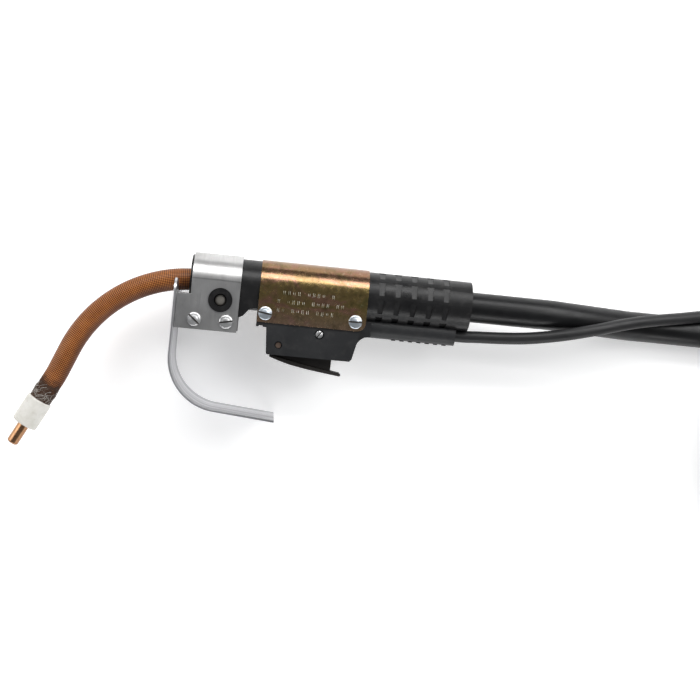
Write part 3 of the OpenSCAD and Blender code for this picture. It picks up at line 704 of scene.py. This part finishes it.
def pan_screw(name, at, turn, material, length):
    """A slotted pan head with a rounded edge, on a shank with a chamfered end."""
    head = [(0.0, -length), (1.9, -length), (2.35, -length + 0.6), (2.35, 0.0), (4.78, 0.0), (4.8, 0.3)]
    for k in range(9):
        a = math.radians(90 * k / 8)
        head.append((3.3 + 1.5 * math.cos(a), 1.25 + 0.95 * math.sin(a)))
    head += [(2.6, 2.48), (1.7, 2.72), (0.8, 2.87), (0.0, 2.92)]
    ob = link(name, lathe(head), material, 30.0)
    ob.location = at
    slotted(ob, (-6, -0.6, 1.5), (6, 0.6, 4), turn)
    ob.data.set_sharp_from_angle(angle=math.radians(30))
    return ob


def join(name, obs):
    """One mesh object out of several."""
    bm = bmesh.new()
    materials = []
    for o in obs:
        me = o.data.copy()
        me.transform(o.matrix_world)
        for x in me.materials:
            if x not in materials:
                materials.append(x)
        index = [materials.index(x) for x in me.materials]
        for p in me.polygons:
            p.material_index = index[p.material_index]
        bm.from_mesh(me)
        bpy.data.meshes.remove(me)
    for o in obs:
        bpy.data.objects.remove(o, do_unlink=True)
    me = bpy.data.meshes.new(name)
    bm.to_mesh(me)
    bm.free()
    for x in materials:
        me.materials.append(x)
    me.set_sharp_from_angle(angle=math.radians(30))
    ob = bpy.data.objects.new(name, me)
    bpy.context.scene.collection.objects.link(ob)
    return ob


# heights of the bracket's and the cover's flat sides above the handle axis
BRACKET_OUT, COVER_OUT = 19.2, 18.5
for name, node, key, out, places in (
    ("bracket_screw_set", "bracket_screws", "steel", BRACKET_OUT, ((5.3, -27, -40), (27.2, -26.8, 12))),
    ("cover_screw_set", "cover_screws", "zinc", COVER_OUT, ((53.5, -18.2, -8), (115.9, -18.1, 2))),
):
    made = join(name, [
        pan_screw(f"{name}_{i}", A(x, y, out), turn, M[key], 2 * out + 5)
        for i, (x, y, turn) in enumerate(places)
    ])
    stand_for(made, "gun", node)

bolt = link("neck_clamp_bolt", lathe([
    (0.0, -16.0), (2.3, -16.0), (3.6, -15.6), (3.85, -15.2), (3.85, -13.2), (2.6, -13.0), (2.6, 13.0),
    (3.85, 13.0), (3.85, 17.1), (3.7, 17.5), (3.3, 17.8), (2.6, 17.92), (1.4, 17.98), (0.0, 18.0),
]), M["pin_end"], 30.0)
bolt.location = A(22, -12.3, 0)
stand_for(bolt, "gun", "clamp_bolt")

small = link("housing_slotted_screw", lathe([
    (0.0, -8.9), (1.2, -8.9), (1.5, -8.5), (1.5, 15.0), (2.55, 15.0), (2.7, 15.2), (2.7, 16.2), (2.5, 16.6),
    (2.0, 16.85), (1.2, 16.97), (0.0, 17.0),
]), M["steel"], 30.0)
small.location = A(92.1, -29.3, 0)
slotted(small, (-4, -0.42, 16.0), (4, 0.42, 19), 55)
stand_for(small, "gun", "housing_screw")

# ---------------------------------------------------------------- hand shield


def shield_mesh():
    """The J-shaped sheet with two pressed beads, the neck's notch and rounded upper corners."""
    # straight at x0 down to bend_y, then a bend of bend degrees and radius r, then a straight leg
    x0, bend_y, r, bend, leg, half_w, t = -8.6, -51.6, 36.2, 85.4, 41.9, 32.0, 1.6
    notch_r, corner_r = 10.0, 9.0
    bead_z, bead_half, bead_high, bead_from = 20.0, 2.9, 0.8, -12.0
    rim = 0.6
    zs, z = [], -half_w
    while z < half_w - 1e-6:
        zs.append(z)
        near = min(abs(abs(z) - notch_r), abs(abs(z) - half_w))
        z += 0.25 if near < 1.5 else 0.5 if near < 3.5 else 0.8
    zs.append(half_w)
    cx = x0 + r
    corner_z = half_w - corner_r
    columns = []
    for z in zs:
        top = 0.0
        if abs(z) < notch_r:
            top = -math.sqrt(notch_r**2 - z * z)
        elif abs(z) > corner_z:
            top = -(corner_r - math.sqrt(max(corner_r**2 - (abs(z) - corner_z) ** 2, 0)))
        line = [(x0, top + (bend_y - top) * i / 26, -1.0, 0.0) for i in range(26)]
        for i in range(49):
            a = math.radians(bend * i / 48)
            line.append((cx - r * math.cos(a), bend_y - r * math.sin(a), -math.cos(a), -math.sin(a)))
        a = math.radians(bend)
        x, y = line[-1][:2]
        for i in range(1, 25):
            s = leg * i / 24
            line.append((x + s * math.sin(a), y - s * math.cos(a), -math.cos(a), -math.sin(a)))
        columns.append(line)
    count = len(columns[0])
    bm = bmesh.new()
    sheets = {}
    for face in (-1, 1):
        for j, z in enumerate(zs):
            edge = max(0.0, 1.0 - (half_w - abs(z)) / rim)
            for i, (x, y, nx, ny) in enumerate(columns[j]):
                d = abs(abs(z) - bead_z)
                bead = bead_high * 0.5 * (1 + math.cos(math.pi * min(d / bead_half, 1.0)))
                bead *= ease((bead_from - y) / 6.0) * ease((count - 3 - i) / 4)
                off = bead + face * (t / 2) * (1 - 0.45 * edge * edge)
                sheets[face, j, i] = bm.verts.new(A(x + nx * off, y + ny * off, z))
    last, end = len(zs) - 1, count - 1
    for face in (-1, 1):
        for j in range(last):
            for i in range(end):
                corners = ((j, i), (j + 1, i), (j + 1, i + 1), (j, i + 1))
                q = [sheets[face, a, b] for a, b in corners]
                bm.faces.new(q if face > 0 else q[::-1])
    for j in range(last):
        bm.faces.new((sheets[1, j, 0], sheets[-1, j, 0], sheets[-1, j + 1, 0], sheets[1, j + 1, 0]))
        bm.faces.new((sheets[1, j + 1, end], sheets[-1, j + 1, end], sheets[-1, j, end], sheets[1, j, end]))
    for i in range(end):
        bm.faces.new((sheets[1, 0, i + 1], sheets[-1, 0, i + 1], sheets[-1, 0, i], sheets[1, 0, i]))
        bm.faces.new((
            sheets[1, last, i], sheets[-1, last, i], sheets[-1, last, i + 1], sheets[1, last, i + 1],
        ))
    return bm


guard = link("shield_sheet", shield_mesh(), M["shield"], 38.0)
stand_for(guard, "gun", "hand_shield")

# ---------------------------------------------------------------- punched marks
# Three rows of plain strokes in pairs on the cover, with some places left free.
MARK_FROM, MARK_PITCH, MARK_R = 62.0, 3.4, 0.00013
marks = bmesh.new()
for row, (y, count) in enumerate(((-2.8, 12), (-9.0, 14), (-15.0, 12))):
    for k in range(count):
        if (k * 7 + row * 3) % 5 == 0:
            continue
        x = MARK_FROM + MARK_PITCH * k
        tall = 1.3 if (k + row) % 3 else 0.8
        for side in (-1, 1):
            line = []
            for t in (-tall, 0.0, tall):
                yy = y + t
                z = math.sqrt(max(COVER_OUT**2 - yy * yy, 0)) if yy > 0 else COVER_OUT
                line.append(A(x + side * 0.55, yy, z))
            add_tube(marks, line, MARK_R)
m = Nodes("punched")
tint = m.ramp(m.noise(700.0, 4.0), [(0.35, (0.42, 0.40, 0.30)), (0.6, (0.85, 0.84, 0.76))])
punched = m.finish(tint, 0.3, 1.0)
punch = link("punched_marks", marks, punched, 60.0)
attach(punch, "gun")

# ---------------------------------------------------------------- everything else, from the CAD solids
for node, key, body, width in (
    ("contact_tip", "copper", "neck", 0.25), ("thread_protector", "ceramic", "neck", 0.3),
    ("shield_bracket", "brushed", "gun", 0.25), ("shield_rivets", "shield", "gun", 0.5),
    ("bracket_nuts", "steel", "gun", 0.3), ("cover_sleeve", "gold", "gun", 0.2),
    ("cover_nuts", "steel", "gun", 0.3), ("housing_left", "grey", "gun", 0.5),
    ("housing_right", "grey", "gun", 0.5), ("trigger", "trigger", "trigger", 0.5),
    ("trigger_pin", "pin", "gun", 0.2), ("handle_upper", "black", "gun", 0.35),
    ("handle_lower", "black", "gun", 0.35), ("cable_bushing", "rubber", "gun", 0.4),
    ("control_grommet", "rubber", "gun", 0.1),
    ("connector_boot", "rubber", "gun", 0.8), ("feeder_connector", "brass", "gun", 0.4),
    ("control_plug", "black", "gun", 0.4), ("coupling_ring", "steel", "ring", 0.4),
    ("hank_ties", "black", "gun", 0.2),
):
    refined(node, M[key], width, body)
for node, key in (
    ("conductor_tube", "copper"), ("wire_liner", "steel"), ("connector_block", "brass"),
    ("cable_ferrule", "copper"), ("inner_cable", "rubber"), ("switch_body", "black"),
    ("switch_plunger", "red"), ("switch_leads", "copper"), ("plug_pins", "brass"),
):
    paint(node, M[key])

# the return spring: a plain coil that stays with the gun
SPRING_X, SPRING_R, SPRING_WIRE, SPRING_TURNS = 72.5, 2.4, 0.00035, 6
SPRING_LOW, SPRING_LENGTH, SPRING_TRAVEL = -44.1, 16.6, 1.03
coil_steps = 24 * SPRING_TURNS
coil = []
for i in range(coil_steps + 1):
    a = 2 * math.pi * i / 24
    y = SPRING_LOW + SPRING_LENGTH * i / coil_steps
    coil.append(A(SPRING_X + SPRING_R * math.cos(a), y, SPRING_R * math.sin(a)))
spring = link("return_spring", tube(coil, SPRING_WIRE, 12, uv=False), M["steel"], 60.0)
stand_for(spring, "gun", "trigger_spring")
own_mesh(spring)

# ---------------------------------------------------------------- floor and light
bm = bmesh.new()
bmesh.ops.create_grid(bm, x_segments=1, y_segments=1, size=3.0)
floor_m = Nodes("floor")
pale = floor_m.ramp(floor_m.noise(3.0, 2.0), [(0.3, (0.90, 0.90, 0.90)), (0.7, (0.93, 0.93, 0.93))])
floor_mat = floor_m.finish(pale, 0.6)
floor_m.bsdf.inputs["Emission Color"].default_value = (1.0, 1.0, 1.0, 1.0)
floor_m.bsdf.inputs["Emission Strength"].default_value = 0.34
floor = link("floor", bm, floor_mat)


def area(name, at, aim, size_x, size_y, watts):
    """A rectangular lamp at a place, aimed at a point."""
    data = bpy.data.lights.new(name, "AREA")
    data.shape = "RECTANGLE"
    data.size, data.size_y, data.energy = size_x, size_y, watts
    ob = bpy.data.objects.new(name, data)
    ob.location = at
    ob.rotation_euler = (aim - at).to_track_quat("-Z", "Y").to_euler()
    bpy.context.scene.collection.objects.link(ob)


centre = A(100, -20, 0)
area("key", A(110, 820, 700), centre, 1.8, 0.42, 13)
area("fill", A(110, -900, 330), centre, 1.8, 0.22, 6)
area("front", A(-900, 60, 500), centre, 0.4, 0.8, 3)
area("overhead", A(900, 500, 900), centre, 0.5, 0.9, 6)
world = bpy.data.worlds.new("world")
world.use_nodes = True
background = world.node_tree.nodes["Background"]
background.inputs["Color"].default_value = (0.95, 0.97, 1.0, 1.0)
background.inputs["Strength"].default_value = 0.2
bpy.context.scene.world = world

bpy.context.view_layer.update()
